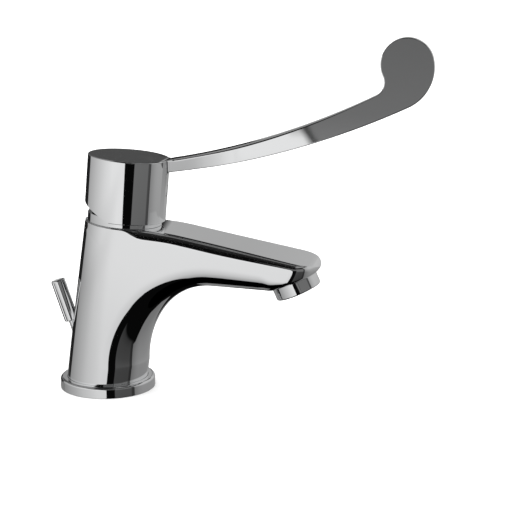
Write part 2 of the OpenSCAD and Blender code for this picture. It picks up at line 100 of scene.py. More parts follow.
class TapBodySettings(bpy.types.PropertyGroup):
    """Sizes of the casting and its base."""

    column_d: length("Column", "Diameter of the round column", 46)
    rim_height: length("Rim height", "Height of the rim's middle above the deck", 96.3)
    rim_forward: length("Rim forward", "How far the rim's middle lies ahead of the foot", 11.7)
    axis_lean: turn("Axis lean", "Forward lean of the cartridge and hub axis", 5)
    foot_height: length("Foot", "Height of the upright foot inside the base ring", 7.5)
    rim_round: length("Rim rounding", "Rounding of the rim's edge", 0.8)
    spout_reach: length("Reach", "Reach of the nose from the foot's middle", 122.5)
    spout_width: length("Spout width", "Full width of the spout", 43.4)
    spout_slope: turn("Spout slope", "Downward slope of the flat top", 11.6)
    underside_height: length("Underside", "Height of the underside above the deck", 62.6)
    top_round: length("Top rounding", "Rounding of the top edges beside the hub", 5.2)
    belly_round: length("Belly", "Height of the rounded belly at each side", 14)
    nose_length: length("Nose", "Length over which the nose is rounded in plan", 14)
    arch_start: length("Arch start", "Height where the arch leaves the column", 16)
    arch_end_back: length("Arch end", "Distance from the nose back to where the arch ends", 60.5)
    ring_d: length("Base ring", "Outside diameter of the base ring", 54)
    ring_wall: length("Ring wall", "Wall of the base ring", 3.88)
    ring_height: length("Ring height", "Height of the base ring", 6.4)
    ring_round: length("Ring rounding", "Rounding of the ring's upper edge", 1.5)
    outlet_height: length("Outlet height", "Height of the outlet's seat above the deck", 66)
    outlet_tilt: turn("Outlet tilt", "Tilt of the outlet", 24)
    outlet_back: length("Outlet back", "Distance from the nose back to the outlet's axis", 14.5)
    outlet_d: length("Outlet", "Diameter of the visible outlet housing", 26.2)
    outlet_drop: length("Outlet drop", "Height of the visible outlet housing", 6.5)


class TapHandleSettings(bpy.types.PropertyGroup):
    """Sizes of the hub and its hooked lever."""

    hub_d: length("Hub", "Outside diameter of the hub", 45.6)
    hub_height: length("Hub height", "Height of the hub", 34.9)
    hub_gap: length("Hub gap", "Gap between the rim and the hub", 2.4)
    hub_wall: length("Hub wall", "Wall of the hub", 1.6)
    hub_roof: length("Hub roof", "Thickness of the hub's roof", 6.3)
    hub_edge: length("Hub edge", "Rounding of the hub's upper edge", 0.7)
    relief_back: length("Relief", "How far behind the axis the cut under the hub starts", 3)
    relief_angle: turn("Relief angle", "Slant of the cut under the back of the hub", 23.5)
    lever_reach: length("Reach", "Distance of the paddle's middle from the hub's axis", 147.7)
    lever_rise: length("Rise", "Rise of the paddle's middle above the hub's top", 65.7)
    lever_root: length("Root", "Height of the lever where it leaves the hub", 7.4)
    lever_thick: length("Lever thickness", "Thickness of the lever at the hub", 13)
    paddle_thick: length("Paddle thickness", "Thickness of the lever at the paddle", 5.5)
    paddle_d: length("Paddle", "Diameter of the round paddle", 28.4)
    hook_radius: length("Hook", "Radius inside the hook", 8)
    heel_radius: length("Heel", "Radius at the paddle's heel", 23)
    lever_edge: length("Lever edge", "Rounding of the lever's other edges", 0.5)
    lever_top: length("Lever top", "Rounding of the lever's top edges near the hub", 1.8)
    root_lean: turn("Root lean", "Lean of the lever's sides where it leaves the hub", 20)
    root_turn: turn("Root turn", "How far round the hub the lever's flat root leaves it", 60)
    root_fillet: length("Root fillet", "Rounding in the corner between hub and lever", 1.2)


class TapRodSettings(bpy.types.PropertyGroup):
    """Sizes of the lift rod and its knob."""

    rod_d: length("Rod", "Diameter of the lift rod", 4)
    rod_lean: turn("Rod lean", "Backward lean of the lift rod", 18.5)
    rod_inset: length("Rod inset", "Distance of the rod from the column's rear, at the deck", 14.9)
    knob_start: length("Knob start", "Distance from the deck to the knob along the rod", 39.8)
    knob_d: length("Knob", "Diameter of the knob", 8.1)
    knob_length: length("Knob length", "Length of the knob", 24.6)


class TapFinishSettings(bpy.types.PropertyGroup):
    """Colours and polish."""

    chrome: tint("Chrome", "Colour of the chrome plate", (0.86, 0.865, 0.87))
    haze: share("Haze", "Roughness of the polished chrome", 0.035)
    rubber: tint("Rubber", "Colour of the gaskets and seals", (0.02, 0.02, 0.022))
    plastic: tint("Plastic", "Colour of the cartridge's plastic", (0.62, 0.64, 0.66))
    ceramic: tint("Ceramic", "Colour of the ceramic discs", (0.82, 0.8, 0.75))
    brass: tint("Brass", "Colour of the brass pieces", (0.72, 0.52, 0.24))
    steel: tint("Steel", "Colour of the plain steel pieces", (0.5, 0.5, 0.5))


class TapStageSettings(bpy.types.PropertyGroup):
    """Camera, floor and light."""

    camera_place: point("Camera", "Place of the camera", (0.22221, -0.77020, 0.25020))
    camera_target: point("Target", "Point that the camera looks at", (0.0864, 0.0, 0.07909))
    camera_lens: bpy.props.FloatProperty(
        name="Lens", description="Focal length in millimetres on a 36 mm sensor", default=101.554
    )
    floor_colour: tint("Floor", "Colour of the floor", (0.96, 0.96, 0.96))
    daylight: bpy.props.FloatProperty(
        name="Daylight", description="Strength of the even white light all round", default=2.0
    )
    studio_radius: length("Studio", "Radius of the round studio", 800)
    studio_middle: length("Studio middle", "How far ahead of the foot the studio's middle lies", 20)


SETTINGS = {
    "tap_body": TapBodySettings,
    "tap_handle": TapHandleSettings,
    "tap_rod": TapRodSettings,
    "tap_finish": TapFinishSettings,
    "tap_stage": TapStageSettings,
}


def in_mm(group):
    """The settings of a group as plain numbers: millimetres, and radians for angles."""
    found = {}
    for name, prop in group.bl_rna.properties.items():
        if prop.type == "FLOAT" and not prop.is_array:
            value = getattr(group, name)
            found[name] = value / MM if prop.unit == "LENGTH" else value
    return type("Sizes", (), found)


class Value:
    """A number that varies over a surface. Arithmetic on it adds Math nodes."""

    def __init__(self, sheet, socket):
        self.sheet, self.socket = sheet, socket

    def _math(self, operation, first, second):
        return self.sheet.node("Math", {"operation": operation}, {0: first, 1: second})

    def __add__(self, other):
        return self._math("ADD", self, other)

    __radd__ = __add__

    def __sub__(self, other):
        return self._math("SUBTRACT", self, other)

    def __rsub__(self, other):
        return self._math("SUBTRACT", other, self)

    def __mul__(self, other):
        return self._math("MULTIPLY", self, other)

    __rmul__ = __mul__

    def __truediv__(self, other):
        return self._math("DIVIDE", self, other)

    def __rtruediv__(self, other):
        return self._math("DIVIDE", other, self)


class Sheet:
    """The node tree of a material or of the surroundings."""

    def __init__(self, owner):
        owner.use_nodes = True
        self.tree = owner.node_tree
        self.tree.nodes.clear()

    def node(self, kind, settings=None, inputs=None, output=0):
        """Adds a node, sets it up, feeds its sockets, and gives one of its outputs."""
        made = self.tree.nodes.new("ShaderNode" + kind)
        for name, value in (settings or {}).items():
            if name == "stops":
                ramp = made.color_ramp.elements
                while len(ramp) > 1:
                    ramp.remove(ramp[-1])
                ramp[0].position, ramp[0].color = value[0]
                for place, colour in value[1:]:
                    ramp.new(place).color = colour
            else:
                setattr(made, name, value)
        for key, value in (inputs or {}).items():
            if isinstance(value, Value):
                self.tree.links.new(value.socket, made.inputs[key])
            else:
                made.inputs[key].default_value = value
        return Value(self, made.outputs[output]) if len(made.outputs) else None

    def ramp(self, fac, stops):
        """A grey ramp from pairs of place and brightness."""
        grey = [(place, (level, level, level, 1.0)) for place, level in stops]
        found = self.node("ValToRGB", {"stops": grey}, {"Fac": fac}, "Color")
        return self.node("SeparateColor", {}, {"Color": found}, "Red")

    def split(self, output):
        """The three values of one of the texture coordinates."""
        place = self.node("TexCoord", output=output)
        x = self.node("SeparateXYZ", {}, {"Vector": place}, "X")
        return x, *(Value(self, x.socket.node.outputs[name]) for name in "YZ")

    def noise(self, place, scale, detail):
        return self.node(
            "TexNoise", {}, {"Vector": place, "Scale": scale, "Detail": detail}, "Fac"
        )

    def blend(self, fac, first, second):
        """A colour between two colours."""
        return self.node(
            "Mix", {"data_type": "RGBA"}, {"Factor": fac, 6: first, 7: second}, 2
        )


def paint(colour):
    return (*colour, 1.0)


def darker(colour, amount):
    return paint([channel * amount for channel in colour])


def dress(sheet, colour, metal, rough, normal):
    """Ends a material with its surface shader."""
    shader = sheet.node(
        "BsdfPrincipled", {},
        {"Base Color": colour, "Metallic": metal, "Roughness": rough, "Normal": normal}, "BSDF",
    )
    sheet.node("OutputMaterial", {}, {"Surface": shader})


def chrome_finish(name, settings):
    """Bright chrome plate: a deep mirror with a faint orange peel and a breath of haze."""
    material = bpy.data.materials.new(name)
    sheet = Sheet(material)
    place = sheet.node("TexCoord", output="Object")
    cloud = sheet.noise(place, 45.0, 3.0)
    grain = sheet.noise(place, 1600.0, 2.0)
    colour = sheet.blend(cloud, darker(settings.chrome, 0.985), paint(settings.chrome))
    rough = settings.haze * 0.6 + settings.haze * 0.5 * cloud + settings.haze * 0.3 * grain
    peel = sheet.node(
        "Bump", {},
        {"Strength": 0.04, "Distance": 0.02 * MM, "Height": sheet.noise(place, 260.0, 1.0)},
        "Normal",
    )
    dress(sheet, colour, 1.0, rough, peel)
    return material


def plain_finish(name, colour, rough, metal=0.0, speck=900.0, relief=0.03):
    """A moulded or turned surface with a fine speckle in colour, gloss and relief."""
    material = bpy.data.materials.new(name)
    sheet = Sheet(material)
    place = sheet.node("TexCoord", output="Object")
    cloud = sheet.noise(place, 70.0, 3.0)
    grain = sheet.noise(place, speck, 3.0)
    shade = sheet.blend(0.65 * grain + 0.35 * cloud, darker(colour, 0.82), paint(colour))
    gloss = rough * 0.8 + rough * 0.4 * grain
    bump = sheet.node(
        "Bump", {}, {"Strength": 0.25, "Distance": relief * MM, "Height": grain}, "Normal"
    )
    dress(sheet, shade, metal, gloss, bump)
    return material


def finish_of(slot, settings):
    """The material for one of the record's slots, made once."""
    name = "tap_" + slot
    found = bpy.data.materials.get(name)
    if found:
        return found
    if slot.startswith("chrome"):
        return chrome_finish(name, settings)
    if slot == "rubber":
        return plain_finish(name, settings.rubber, 0.6)
    if slot == "ceramic":
        return plain_finish(name, settings.ceramic, 0.22, speck=2500.0, relief=0.005)
    if slot == "steel":
        return plain_finish(name, settings.steel, 0.3, 1.0, 1800.0, 0.01)
    if slot == "brass":
        return plain_finish(name, settings.brass, 0.32, 1.0, 1800.0, 0.01)
    return plain_finish(name, settings.plastic, 0.45)


def start_clean():
    """Leaves edit mode and deselects everything."""
    if bpy.context.object and bpy.context.object.mode != "OBJECT":
        bpy.ops.object.mode_set(mode="OBJECT")
    bpy.ops.object.select_all(action="DESELECT")


def only(piece):
    """Makes a piece the only selected and the active object."""
    start_clean()
    piece.select_set(True)
    bpy.context.view_layer.objects.active = piece


def loop_of(name, points, fill="NOTHING"):
    """A circle primitive whose points are drawn out to the given closed line, in edit mode."""
    start_clean()
    bpy.ops.mesh.primitive_circle_add(vertices=len(points), radius=0.01, fill_type=fill)
    piece = bpy.context.object
    piece.name = name
    piece.data.name = name
    bpy.ops.object.mode_set(mode="EDIT")
    mesh = bmesh.from_edit_mesh(piece.data)
    for vert, point in zip(mesh.verts, points):
        vert.co = point
    bmesh.update_edit_mesh(piece.data)
    return piece


def tidy_shell():
    """Merges doubled points and turns all faces outwards, in edit mode."""
    bpy.ops.mesh.select_all(action="SELECT")
    bpy.ops.mesh.remove_doubles(threshold=1e-6)
    bpy.ops.mesh.normals_make_consistent(inside=False)
    bpy.ops.object.mode_set(mode="OBJECT")


def lofted(name, rings):
    """A closed skin drawn from ring to ring by extruding the open edge."""
    piece = loop_of(name, rings[0], "NGON")
    mesh = bmesh.from_edit_mesh(piece.data)
    order = mesh.verts.layers.int.new("order")
    for index, vert in enumerate(mesh.verts):
        vert[order] = index
    bmesh.update_edit_mesh(piece.data)
    for ring in rings[1:]:
        bpy.ops.mesh.extrude_edges_indiv()
        mesh = bmesh.from_edit_mesh(piece.data)
        order = mesh.verts.layers.int["order"]
        for vert in mesh.verts:
            if vert.select:
                vert.co = ring[vert[order]]
        bmesh.update_edit_mesh(piece.data)
    bpy.ops.mesh.edge_face_add()
    mesh = bmesh.from_edit_mesh(piece.data)
    mesh.verts.layers.int.remove(mesh.verts.layers.int["order"])
    bmesh.update_edit_mesh(piece.data)
    tidy_shell()
    return piece


def rounded(corners, steps=8):
    """A line through corners given as (radius, height, rounding), with each rounding as an arc."""
    line = []
    for index, (r, w, size) in enumerate(corners):
        here = Vector((r, w))
        if not size:
            line.append(here)
            continue
        before = Vector(corners[index - 1][:2]) - here
        after = Vector(corners[(index + 1) % len(corners)][:2]) - here
        half = before.angle(after) / 2
        reach = size / math.tan(half)
        inward = (before.normalized() + after.normalized()).normalized()
        middle = here + inward * size / math.sin(half)
        start = here + before.normalized() * reach - middle
        swing = (here + after.normalized() * reach - middle).angle_signed(start)
        for step in range(steps + 1):
            line.append(middle + Matrix.Rotation(swing * step / steps, 2) @ start)
    return line


def settle(piece, place):
    """Puts a piece in its place and moves that place into its mesh."""
    piece.matrix_world = place
    only(piece)
    bpy.ops.object.transform_apply(location=True, rotation=True, scale=True)


def turned(name, corners, place, steps=144):
    """A turned piece: a profile in radius and height, spun about the axis of a place."""
    line = rounded(corners)
    piece = loop_of(name, [Vector((p.x * MM, 0.0, p.y * MM)) for p in line])
    bpy.ops.mesh.select_all(action="DESELECT")
    bpy.ops.mesh.select_mode(type="EDGE")
    mesh = bmesh.from_edit_mesh(piece.data)
    for edge in mesh.edges:
        edge.select = all(abs(vert.co.x) < 1e-9 for vert in edge.verts)
    bmesh.update_edit_mesh(piece.data)
    bpy.ops.mesh.delete(type="EDGE")
    bpy.ops.mesh.select_all(action="SELECT")
    bpy.ops.mesh.spin(steps=steps, angle=2 * math.pi, center=(0, 0, 0), axis=(0, 0, 1))
    bpy.ops.mesh.select_mode(type="VERT")
    tidy_shell()
    settle(piece, place)
    return piece


def moved(x, y, z, lean=0.0):
    """A place given in millimetres, leaning forward about the Y axis."""
    return Matrix.Translation(Vector((x, y, z)) * MM) @ Matrix.Rotation(lean, 4, "Y")


def round_tool(place, radius, bottom, top, steps=96):
    """A round cutter along the axis of a place."""
    start_clean()
    bpy.ops.mesh.primitive_cylinder_add(
        vertices=steps, radius=radius * MM, depth=(top - bottom) * MM, location=(0, 0, 0)
    )
    tool = bpy.context.object
    settle(tool, place @ Matrix.Translation((0, 0, (bottom + top) / 2 * MM)))
    return tool


def block_tool(place, low, high):
    """A square cutter between two corners of a place."""
    start_clean()
    bpy.ops.mesh.primitive_cube_add(size=1.0, location=(0, 0, 0))
    tool = bpy.context.object
    low, high = Vector(low) * MM, Vector(high) * MM
    size = Matrix.Diagonal((*(high - low), 1.0))
    settle(tool, place @ Matrix.Translation((low + high) / 2) @ size)
    return tool


def combine(piece, tool, operation):
    """Cuts a tool from a piece or joins it on, and takes the tool away."""
    only(piece)
    step = piece.modifiers.new(operation.title(), "BOOLEAN")
    step.operation, step.object, step.solver = operation, tool, "EXACT"
    bpy.ops.object.modifier_apply(modifier=step.name)
    only(tool)
    bpy.ops.object.delete()
    only(piece)


def cut(piece, *tools):
    for tool in tools:
        combine(piece, tool, "DIFFERENCE")


def join(piece, *tools):
    for tool in tools:
        combine(piece, tool, "UNION")


def hand_over(piece, body, slot, *nodes):
    """Smooths a finished piece, gives it its finish and puts it in place of its CAD nodes."""
    only(piece)
    bpy.ops.object.shade_smooth_by_angle(angle=SMOOTH_ANGLE)
    step = piece.modifiers.new("Weighted", "WEIGHTED_NORMAL")
    step.keep_sharp = True
    bpy.ops.object.modifier_apply(modifier=step.name)
    piece.data.materials.clear()
    piece.data.materials.append(finish_of(slot, bpy.context.scene.tap_finish))
    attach(piece, body)
    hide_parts(*nodes)


def ease(t):
    """A smooth rise from nothing to one."""
    t = min(1.0, max(0.0, t))
    return t * t * (3 - 2 * t)


def mix(a, b, t):
    return a + (b - a) * t


def lower_of(a, b, k):
    """The lower of two values, with a soft change between them."""
    return (a + b - math.sqrt((a - b) ** 2 + k * k)) / 2


def upper_of(a, b, k):
    """The upper of two values, with a soft change between them."""
    return (a + b + math.sqrt((a - b) ** 2 + k * k)) / 2


def fillet(d, r):
    """How far a rounded edge of radius r falls back, at the distance d from its end."""
    return 0.0 if d >= r else r - math.sqrt(max(0.0, r * r - (r - max(d, 0.0)) ** 2))


def dome(d, r, n):
    """Share of the full width at the distance d from the end of a rounding of height r."""
    return 1.0 if d >= r else max(0.0, 1 - (1 - d / r) ** n) ** (1 / n)


class Casting:
    """The flowing form of the casting in millimetres: column, arch and flat-topped spout."""

    # Points on half a section, sections over the arch and along the spout
    points_half, fan_steps, spout_steps = 72, 80, 64
    # Angle of the section through the rim's rear corner, in degrees
    fan_corner = 50
    # How far ahead of the hub the flat top starts, and how fast the underside falls
    break_ahead, belly_fall = 6.3, 0.04
    # Length of the nose's blunt tip, and the share of its height that it rounds off
    nose_tip, tip_share = 5, 0.49
    # Lower down the nose is rounded further back: by how much, and up to which height
    nose_more, nose_more_high = 0.7, 11
    # What is left of the top's rounding at the nose, and of the belly's at the outlet
    top_share, belly_share = 0.58, 0.2

    def __init__(self, s):
        self.s = s
        self.column_r = s.column_d / 2
        self.spout_half = s.spout_width / 2
        self.arch_end = s.spout_reach - s.arch_end_back
        self.break_x = s.rim_forward + self.column_r + self.break_ahead
        self.corner_z = s.rim_height + self.column_r * math.tan(s.axis_lean)
        self.outlet_x = s.spout_reach - s.outlet_back

    def middle_x(self, z):
        s = self.s
        rise = max(0.0, z - s.foot_height)
        return s.rim_forward * rise / (s.rim_height - s.foot_height)

    def rim_line(self, x):
        return self.s.rim_height - math.tan(self.s.axis_lean) * (x - self.s.rim_forward)

    def slope_line(self, x):
        return self.rim_line(self.break_x) - math.tan(self.s.spout_slope) * (x - self.break_x)

    def seat_line(self, x):
        return self.s.outlet_height + math.tan(self.s.outlet_tilt) * (x - self.outlet_x)

    def belly_line(self, x):
        return self.s.underside_height - self.belly_fall * (x - self.arch_end)

    def tip_drop(self, x):
        reach = self.s.spout_reach
        part = max(0.0, (x - reach + self.nose_tip) / self.nose_tip)
        depth = self.slope_line(reach) - self.seat_line(reach)
        return self.tip_share * depth * (1 - math.sqrt(max(0.0, 1 - part * part)))

    def top_line(self, x):
        return lower_of(self.rim_line(x), self.slope_line(x), 0.6) - self.tip_drop(x)

    def under_line(self, x):
        return upper_of(self.belly_line(x), self.seat_line(x), 0.8) + self.tip_drop(x)

    def arch_point(self, u):
        start = self.s.arch_start
        width = self.arch_end - self.middle_x(start) - self.column_r
        return Vector((
            self.arch_end - width * math.cos(u),
            mix(start, self.under_line(self.arch_end), math.sin(u)),
        ))

    def rear_point(self, z):
        back = fillet(self.corner_z - z, self.s.rim_round)
        return Vector((self.middle_x(z) - self.column_r + back, z))

    def outer_point(self, u):
        corner = math.radians(self.fan_corner)
        if u <= corner:
            return self.rear_point(mix(self.s.arch_start, self.corner_z, u / corner))
        along = (u - corner) / (math.pi / 2 - corner)
        x = mix(self.rear_point(self.corner_z).x, self.arch_end, along)
        return Vector((x, self.top_line(x)))

    def nose_width(self, x, d):
        """Share of the full width in the nose, d above a section's lower end."""
        more = self.nose_more * max(0.0, 1 - d / self.nose_more_high) ** 2
        long = self.s.nose_length * (1 + more)
        part = max(0.0, (x - self.s.spout_reach + long) / long)
        return max(0.0, 1 - part ** 2.5) ** 0.4

    def top_edge(self, x):
        """Rounding of the top edges, small at the rim and large beside the hub."""
        full = mix(self.s.rim_round, self.s.top_round, ease((x - self.s.rim_forward - 4.5) / 10.5))
        return full * mix(1, self.top_share, ease((x - self.arch_end) / self.s.arch_end_back))

    def half_width(self, p, d, long, u):
        """Half width at a point of a section, d above its lower end."""
        part = ease(u / (math.pi / 2))
        side = mix(self.column_r, self.spout_half, part)
        near = ease((p.x - self.outlet_x + 24) / 30)
        round_low = self.s.belly_round * mix(1, self.belly_share, near)
        belly = min(mix(self.column_r, round_low, part), max(0.55 * long, 0.01))
        edge = min(self.top_edge(p.x), 0.45 * long)
        wide = side - fillet(self.top_line(p.x) - p.y, edge)
        back = p.x - self.middle_x(p.y)
        flank = math.sqrt(max(0.0, wide * wide - back * back)) if back < 0 else wide
        low = wide * dome(d, belly, mix(2, 2.5, part))
        return max(0.05, min(flank, low) * self.nose_width(p.x, d))

    def ring(self, outer, inner, u):
        """One section as a closed loop in metres, from its upper end round its lower end."""
        long = (inner - outer).length
        rows = []
        for k in range(self.points_half):
            v = (1 - math.cos(math.pi * (k + 0.5) / self.points_half)) / 2
            p = outer + (inner - outer) * v
            rows.append((p.x, self.half_width(p, long * (1 - v), long, u), p.y))
        back = [(x, -y, z) for x, y, z in reversed(rows)]
        return [Vector(point) * MM for point in rows + back]

    def round_ring(self, z):
        front = Vector((self.middle_x(z) + self.column_r, z))
        return self.ring(Vector((self.middle_x(z) - self.column_r, z)), front, 0.0)

    def rings(self):
        s = self.s
        found = [self.round_ring(z) for z in (0, s.foot_height - 0.3, s.foot_height + 0.3)]
        found += [self.round_ring(mix(s.foot_height, s.arch_start, t / 5)) for t in range(1, 5)]
        for step in range(self.fan_steps):
            u = math.pi / 2 * step / self.fan_steps
            found.append(self.ring(self.outer_point(u), self.arch_point(u), u))
        for step in range(self.spout_steps + 1):
            along = math.sin(math.pi / 2 * step / self.spout_steps)
            x = mix(self.arch_end, s.spout_reach - 0.02, along)
            top, under = Vector((x, self.top_line(x))), Vector((x, self.under_line(x)))
            found.append(self.ring(top, under, math.pi / 2))
        return found


def axis_place():
    """The leaning axis of cartridge and hub, with zero at the rim."""
    s = in_mm(bpy.context.scene.tap_body)
    return moved(s.rim_forward, 0, s.rim_height, s.axis_lean)


def outlet_place():
    """The outlet's axis, pointing up into the spout."""
    s = in_mm(bpy.context.scene.tap_body)
    return moved(s.spout_reach - s.outlet_back, 0, s.outlet_height, -s.outlet_tilt)


def rod_place():
    """The lift rod's axis, with zero on the deck."""
    s, column = in_mm(bpy.context.scene.tap_rod), in_mm(bpy.context.scene.tap_body)
    return moved(s.rod_inset - column.column_d / 2, 0, 0, -s.rod_lean)


class TAP_OT_cast_body(bpy.types.Operator):
    """Draws the casting from section to section and bores it"""

    bl_idname = "tap.cast_body"
    bl_label = "Cast Body"

    def execute(self, context):
        s, rod = in_mm(context.scene.tap_body), in_mm(context.scene.tap_rod)
        piece = lofted("cast_body", Casting(s).rings())
        axis, outlet, lift = axis_place(), outlet_place(), rod_place()
        nut_r, cartridge_r, thread_r, bush_r = 19.23, 17.53, 12.03, 3.23
        inlet_r, inlet_x, inlet_side, stud_r, stud_x = 4.5, 2, 7, 3.4, 13
        cut(
            piece,
            round_tool(axis, nut_r, -9, 14),
            round_tool(axis, cartridge_r, -25, 0),
            round_tool(outlet, s.outlet_d / 2 + 0.5, -s.outlet_drop - 4, OUTLET_SEAT),
            round_tool(outlet, thread_r, 0, 6),
            round_tool(lift, bush_r, -6, 20, 48),
            round_tool(lift, rod.rod_d / 2 + FREE, 0, rod.knob_start + 12, 48),
            round_tool(lift, rod.knob_d / 2 + 0.35, rod.knob_start - FREE, rod.knob_start + 25),
        )
        for side in (-inlet_side, inlet_side):
            cut(piece, round_tool(moved(inlet_x, side, 0), inlet_r, -1, 14))
        cut(piece, round_tool(moved(stud_x, 0, 0), stud_r, -1, 16))
        hand_over(piece, "tap_body", "chrome", "body_casting")
        return {"FINISHED"}


class TAP_OT_turn_base_ring(bpy.types.Operator):
    """Turns the base ring with its rounded shoulder and the groove for the gasket"""

    bl_idname = "tap.turn_base_ring"
    bl_label = "Turn Base Ring"

    def execute(self, context):
        s = in_mm(context.scene.tap_body)
        outside, inside = s.ring_d / 2, s.ring_d / 2 - s.ring_wall
        wide, deep = 1.5, 1.6
        groove = (outside + inside - wide) / 2
        near, far = groove - FIT, groove + wide + FIT
        piece = turned("foot_ring", [
            (inside, 0, 0), (inside, s.ring_height, 0.15), (outside, s.ring_height, s.ring_round),
            (outside, 0, 0.25), (far, 0, 0), (far, deep, 0), (near, deep, 0), (near, 0, 0),
        ], moved(0, 0, 0))
        hand_over(piece, "tap_body", "chrome_ring", "base_ring")
        return {"FINISHED"}


class TAP_OT_turn_collar(bpy.types.Operator):
    """Turns the domed collar that closes the gap under the hub"""

    bl_idname = "tap.turn_collar"
    bl_label = "Turn Collar"

    def execute(self, context):
        h = in_mm(context.scene.tap_handle)
        outside = h.hub_d / 2 - h.hub_wall - 0.4
        rim, nut, bore, shoulder, crown = 19.5, 18.63, 12.85, 4.9, 8
        piece = turned("hub_collar", [
            (rim, 0, 0), (outside, 0, 0.15), (outside, shoulder, 0.6), (13.65, crown, 0.3),
            (bore, crown, 0.2), (bore, 7, 0), (15.4, 5.2, 0), (nut, 3.5, 0), (nut, 1, 0),
            (rim, 1, 0),
        ], axis_place())
        hand_over(piece, "tap_body", "chrome_collar", "dome_collar")
        return {"FINISHED"}


def bearing(v):
    return math.atan2(v.y, v.x)


def sweep(middle, radius, start, end, steps):
    """Points on an arc."""
    found = []
    for step in range(steps + 1):
        a = mix(start, end, step / steps)
        found.append(middle + radius * Vector((math.cos(a), math.sin(a))))
    return found


def meet(p, rp, q, rq, side):
    """Meeting point of two circles, on the chosen side of the line between their middles."""
    run = q - p
    along = (rp * rp - rq * rq + run.length_squared) / (2 * run.length)
    off = math.sqrt(max(0.0, rp * rp - along * along))
    u = run.normalized()
    return p + along * u + side * off * Vector((-u.y, u.x))


def bowed(start, end, bend):
    """Middle and radius of a long sagging arc between two points."""
    run = end - start
    radius = run.length / (2 * math.sin(bend))
    lean = bearing(run) - bend
    return start + radius * Vector((-math.sin(lean), math.cos(lean))), radius


class Lever:
    """The lever in its own upright plane: two long arcs, hook, round paddle and heel."""

    # Rise of the lever's top edge above the hub's top at its root, in millimetres
    root_rise = 1.2

    def __init__(self, h):
        self.h = h
        self.hub_r, self.hub_top = h.hub_d / 2, h.hub_gap + h.hub_height
        r = h.paddle_d / 2
        self.paddle = Vector((h.lever_reach, self.hub_top + h.lever_rise))
        self.root_top = Vector((self.hub_r + 1.8, self.hub_top + self.root_rise))
        self.root_low = self.root_top - Vector((0, h.lever_root))
        hook_foot = self.paddle + Vector((1 - r, -r - 2.9))
        heel_foot = self.paddle + Vector((-7.4, -r - 14.4))
        self.top, self.top_r = bowed(self.root_top, hook_foot, math.radians(8.4))
        self.low, self.low_r = bowed(self.root_low, heel_foot, math.radians(8.2))
        self.leave = Vector((math.sin(h.root_turn), math.cos(h.root_turn))) * (self.hub_r - 0.02)
        self.crease = self.leave.x + (self.leave.y - self.plain(self.hub_r)) / math.tan(h.root_turn)

    def outline(self):
        h, r, paddle = self.h, self.h.paddle_d / 2, self.paddle
        hook = meet(self.top, self.top_r - h.hook_radius, paddle, r + h.hook_radius, -1)
        heel = meet(self.low, self.low_r - h.heel_radius, paddle, h.heel_radius - r, -1)
        inner, start = self.hub_r * 0.45, self.hub_r * 0.8
        foot = self.root_low + Vector((-h.root_fillet - 1.8, -h.root_fillet))
        line = [Vector((inner, foot.y)), Vector((inner, self.hub_top - 1.5))]
        for step in range(10):
            t = step / 10
            rise = mix(-0.02, self.root_rise, t * t)
            line.append(Vector((mix(start, self.root_top.x, t), self.hub_top + rise)))
        line += sweep(
            self.top, self.top_r, bearing(self.root_top - self.top), bearing(hook - self.top), 60
        )
        line += sweep(hook, h.hook_radius, bearing(hook - self.top), bearing(paddle - hook), 24)[1:]
        line += sweep(
            paddle, r, bearing(hook - paddle) + 2 * math.pi, bearing(paddle - heel), 96
        )[1:]
        line += sweep(heel, h.heel_radius, bearing(paddle - heel), bearing(heel - self.low), 28)[1:]
        line += sweep(
            self.low, self.low_r, bearing(heel - self.low), bearing(self.root_low - self.low), 60
        )[1:]
        corner = Vector((self.root_low.x - 0.3, foot.y))
        line += sweep(corner, h.root_fillet, math.radians(90), math.radians(180), 8)
        return line + [Vector((self.hub_r - 1.5, foot.y))]

    @staticmethod
    def height_on(middle, radius, x):
        """Height of a long arc's lower side at a reach."""
        return middle.y - math.sqrt(max(0.0, radius ** 2 - (x - middle.x) ** 2))

    def plain(self, x):
        """Half thickness of the upright bar."""
        h = self.h
        return mix(h.lever_thick, h.paddle_thick, x / (h.lever_reach + h.paddle_d)) / 2

    def half_width(self, x, w):
        """Half thickness: a flat tangent from the hub, then the bar, both leaning in at first."""
        h = self.h
        flat = self.leave.y - max(0.0, x - self.leave.x) * math.tan(h.root_turn)
        reach = max(x, self.root_top.x)
        edge = self.height_on(self.top, self.top_r, reach)
        lean = math.tan(h.root_lean) * (1 - ease((x - self.hub_r - 9) / 34))
        return max(flat, self.plain(x)) - max(0.0, edge - w) * lean

    def rounding(self, x, w):
        """Rounding of the edge at a point: large on top of the bar, small elsewhere."""
        h = self.h
        far = self.paddle.x - h.paddle_d / 2 - h.hook_radius
        middle = mix(
            self.height_on(self.low, self.low_r, x), self.height_on(self.top, self.top_r, x), 0.5
        )
        if x > far or w < middle:
            return h.lever_edge
        full = mix(h.lever_top, h.lever_edge, ((x - self.hub_r) / (far - self.hub_r)) ** 2)
        return mix(h.hub_edge, full, ease((x - self.hub_r + 3) / 10))


